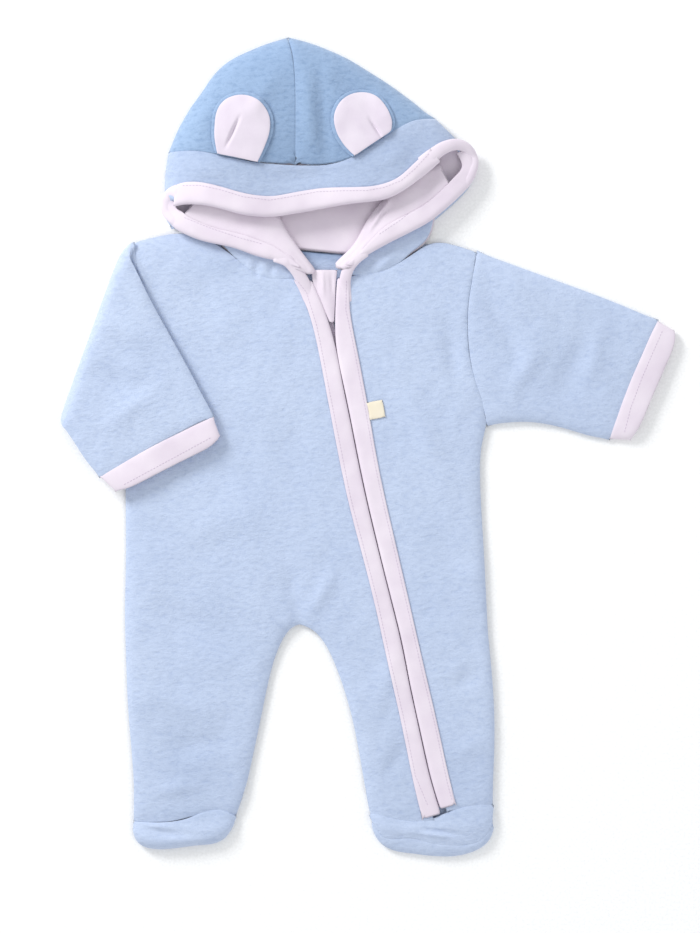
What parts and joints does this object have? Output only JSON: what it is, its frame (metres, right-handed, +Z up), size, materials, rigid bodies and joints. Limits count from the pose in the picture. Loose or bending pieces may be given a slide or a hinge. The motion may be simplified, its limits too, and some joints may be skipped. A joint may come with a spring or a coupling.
{
  "type": "pramsuit",
  "caption": "Baby pramsuit of fleece laid flat, with bear-eared lined hood, closed feet, folded sleeve and diagonal front zip.",
  "frame": {"origin": "bottom centre of the part's box, on the surface it lies on", "axes": "+X to the viewer's right, +Y from the feet to the hood, +Z up from the surface"},
  "size_m": [0.5008, 0.6692, 0.026],
  "materials": {
    "fleece_blue": "short-pile fleece, matt",
    "fleece_deep": "short-pile fleece, matt, a shade deeper",
    "jersey_white": "cotton jersey, matt",
    "zip_tape": "woven tape",
    "zip_nylon": "coil, satin",
    "zip_metal": "lacquered",
    "label_cloth": "woven ribbon, bare"
  },
  "bodies": {
    "root": {"back": "fleece_blue", "binding_rim": "jersey_white", "binding_side_left": "jersey_white", "binding_side_right": "jersey_white", "binding_zip_left": "jersey_white", "binding_zip_right": "jersey_white", "cuff_left": "jersey_white", "cuff_right": "jersey_white", "ear_left_back": "fleece_deep", "ear_left_face": "jersey_white", "ear_right_back": "fleece_deep", "ear_right_face": "jersey_white", "foot_left_sole": "fleece_blue", "foot_left_vamp": "fleece_blue", "foot_right_sole": "fleece_blue", "foot_right_vamp": "fleece_blue", "front_left": "fleece_blue", "front_right": "fleece_blue", "hood_back": "fleece_blue", "hood_band": "fleece_blue", "hood_crown_left": "fleece_deep", "hood_crown_right": "fleece_deep", "hood_side_left": "fleece_blue", "hood_side_right": "fleece_blue", "label": "label_cloth", "lining_back": "jersey_white", "lining_side_left": "jersey_white", "lining_side_right": "jersey_white", "lining_top": "jersey_white", "sleeve_left": "fleece_blue", "sleeve_right": "fleece_blue", "zip_chain": "zip_nylon", "zip_guard": "jersey_white", "zip_slider": "zip_metal", "zip_tape_left": "zip_tape", "zip_tape_right": "zip_tape"}
  },
  "joints": []
}
